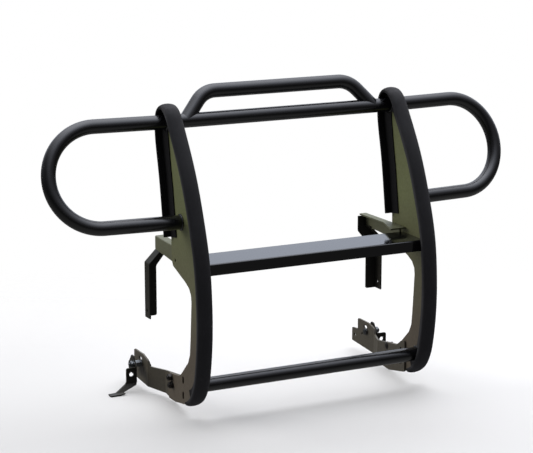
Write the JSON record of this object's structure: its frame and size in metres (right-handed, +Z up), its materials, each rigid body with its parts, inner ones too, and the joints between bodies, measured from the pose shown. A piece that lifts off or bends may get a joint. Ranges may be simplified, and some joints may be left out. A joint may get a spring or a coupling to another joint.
{
  "type": "grille guard",
  "caption": "Front grille guard: curved rubber-edged upright plates joined by round cross tubes, a top hoop, a sheet channel, headlight loops and folded mounting brackets.",
  "frame": {"origin": "midway between the holes of the two foot brackets, which bolt to the vehicle's frame rails", "axes": "+X to the right across the vehicle as seen from in front of it, +Y rearward towards the vehicle, +Z up"},
  "size_m": [1.3734, 0.4719, 0.848],
  "materials": {
    "tube_coat": "gloss black powder coat",
    "plate_coat": "satin dark olive-grey powder coat",
    "bracket_coat": "satin dark powder coat",
    "rubber_trim": "matte",
    "hardware": "zinc plated"
  },
  "bodies": {
    "root": {"right_upright_plate": "plate_coat", "left_upright_plate": "plate_coat", "right_rubber_trim": "rubber_trim", "left_rubber_trim": "rubber_trim", "right_wing_tube": "tube_coat", "left_wing_tube": "tube_coat", "right_tube_welds": "tube_coat", "left_tube_welds": "tube_coat", "right_upper_bracket": "bracket_coat", "left_upper_bracket": "bracket_coat", "right_upper_strap": "bracket_coat", "left_upper_strap": "bracket_coat", "right_lower_bracket": "bracket_coat", "left_lower_bracket": "bracket_coat", "right_foot_bracket": "bracket_coat", "left_foot_bracket": "bracket_coat", "right_arm_bolts": "hardware", "left_arm_bolts": "hardware", "right_arm_washers": "hardware", "left_arm_washers": "hardware", "right_arm_nuts": "hardware", "left_arm_nuts": "hardware", "right_foot_bolt": "hardware", "left_foot_bolt": "hardware", "right_foot_standoff": "hardware", "left_foot_standoff": "hardware", "right_foot_washer": "hardware", "left_foot_washer": "hardware", "right_foot_nut": "hardware", "left_foot_nut": "hardware", "top_cross_tube": "tube_coat", "bottom_cross_tube": "tube_coat", "top_hoop_tube": "tube_coat", "center_channel": "tube_coat"}
  },
  "joints": []
}
